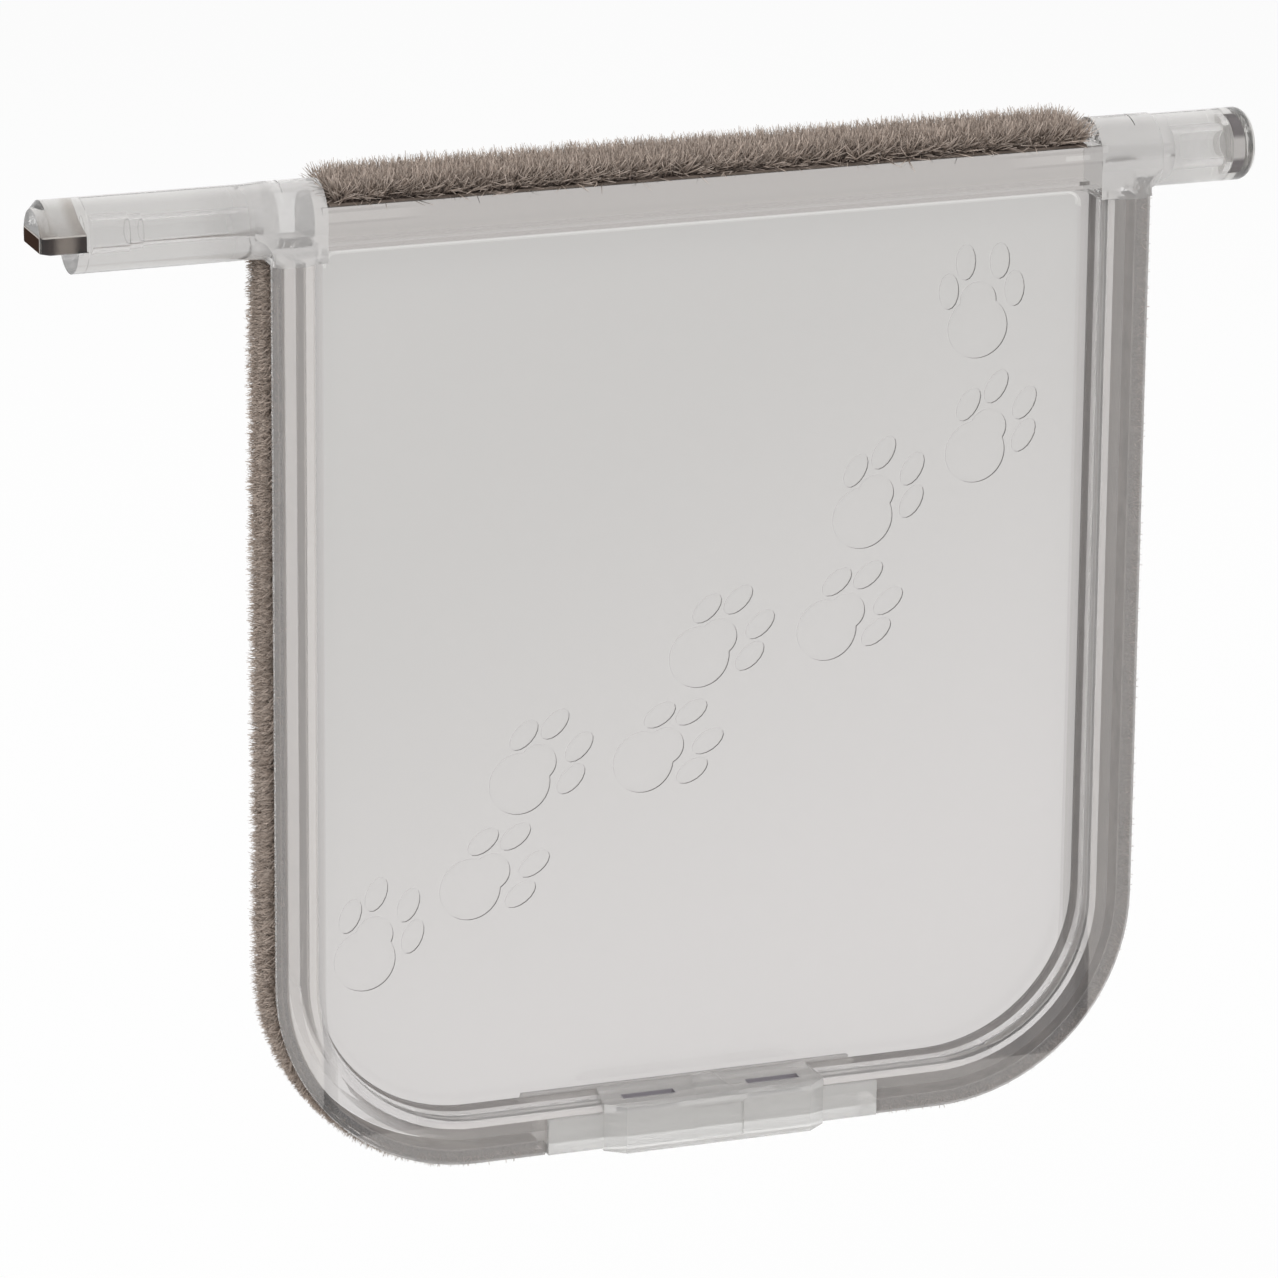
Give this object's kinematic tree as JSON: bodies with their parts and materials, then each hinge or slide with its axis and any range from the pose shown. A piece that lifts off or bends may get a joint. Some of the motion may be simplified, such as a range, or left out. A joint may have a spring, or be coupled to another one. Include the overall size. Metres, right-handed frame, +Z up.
{
  "type": "cat flap leaf",
  "caption": "Clear swinging leaf of a cat flap, with a pivot arm at each side, pile draught strips round its edge, sunken paw prints and a clip on its bottom rim.",
  "frame": {"origin": "on the hinge line at the leaf's mid-width", "axes": "+X along the hinge line to the right pivot, +Y to the leaf's rear, +Z up with the leaf hanging closed"},
  "size_m": [0.2063, 0.0169, 0.1687],
  "materials": {
    "clear_plastic": "clear gloss",
    "pivot_clear_plastic": "clear gloss",
    "clip_clear_plastic": "clear satin",
    "dark_steel": "dark",
    "slug_steel": "bright",
    "pile": "pile"
  },
  "bodies": {
    "root": {"leaf": "clear_plastic", "left_pivot_plug": "pivot_clear_plastic", "left_pivot_plate": "dark_steel", "right_pivot_cap": "pivot_clear_plastic", "right_pivot_slug": "slug_steel", "top_brush_strip": "pile", "left_brush_strip": "pile", "right_brush_strip": "pile", "bottom_clip": "clip_clear_plastic"}
  },
  "joints": []
}
